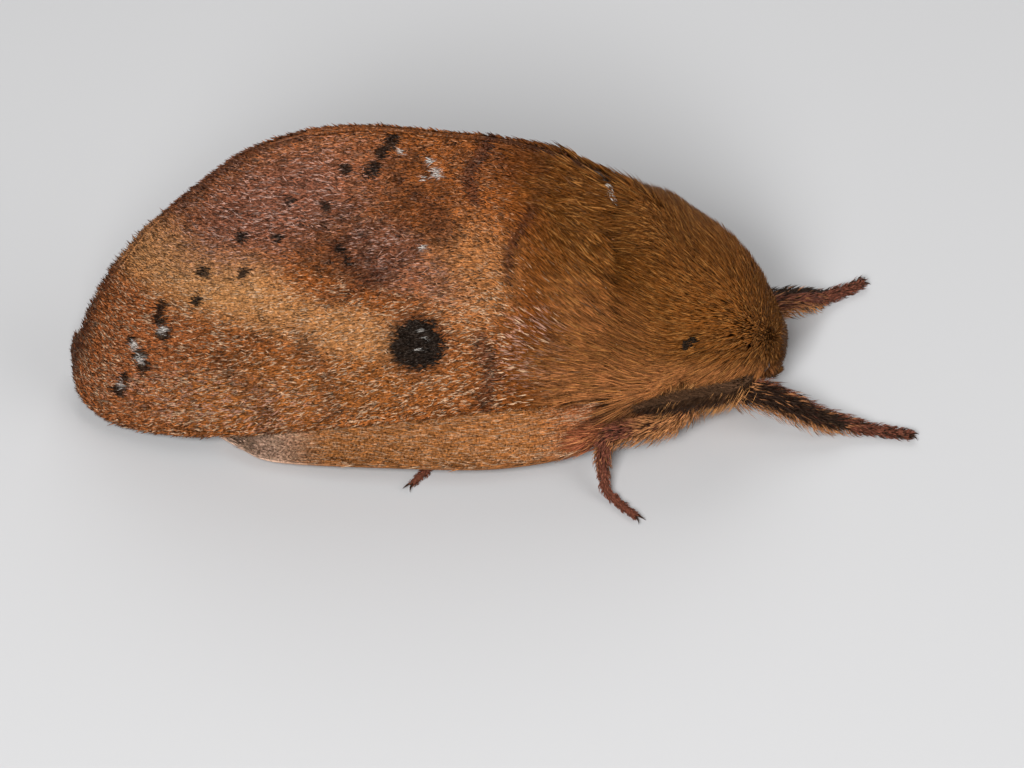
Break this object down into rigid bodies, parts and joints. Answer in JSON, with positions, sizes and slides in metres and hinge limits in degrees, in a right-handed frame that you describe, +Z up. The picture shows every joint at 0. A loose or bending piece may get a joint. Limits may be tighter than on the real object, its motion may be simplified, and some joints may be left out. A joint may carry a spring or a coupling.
{
  "type": "moth",
  "caption": "Life-size model of a lappet-like moth at rest, wings folded like a steep roof over a thickset furry body, forelegs stretched forward.",
  "frame": {"origin": "on the floor, below the middle of the model's box", "axes": "+X towards the head, +Y to the moth's left, +Z up"},
  "size_m": [0.0373, 0.0186, 0.0153],
  "materials": {
    "thorax_fur": "dense short brown fur",
    "head_fur": "dense dark brown fur",
    "abdomen_fur": "dense brown fur",
    "eye": "glossy black, finely faceted",
    "antenna": "dark grey-brown comb",
    "forewing_scales": "orange-brown scales with black spots",
    "hindwing_scales": "golden streaked scales",
    "leg_fur": "red-brown and black hair"
  },
  "bodies": {
    "root": {"head": "head_fur", "eye_right": "eye", "eye_left": "eye", "palp_right": "head_fur", "palp_left": "head_fur", "antenna_right": "antenna", "antenna_left": "antenna", "thorax": "thorax_fur", "abdomen": "abdomen_fur", "forewing_right": "forewing_scales", "forewing_left": "forewing_scales", "hindwing_right": "hindwing_scales", "hindwing_left": "hindwing_scales", "fore_right_femur": "leg_fur", "fore_right_tibia": "leg_fur", "fore_right_tarsus": "leg_fur", "fore_left_femur": "leg_fur", "fore_left_tibia": "leg_fur", "fore_left_tarsus": "leg_fur", "mid_right_femur": "leg_fur", "mid_right_tibia": "leg_fur", "mid_right_tarsus": "leg_fur", "mid_left_femur": "leg_fur", "mid_left_tibia": "leg_fur", "mid_left_tarsus": "leg_fur", "hind_right_femur": "leg_fur", "hind_right_tibia": "leg_fur", "hind_right_tarsus": "leg_fur", "hind_left_femur": "leg_fur", "hind_left_tibia": "leg_fur", "hind_left_tarsus": "leg_fur"}
  },
  "joints": []
}
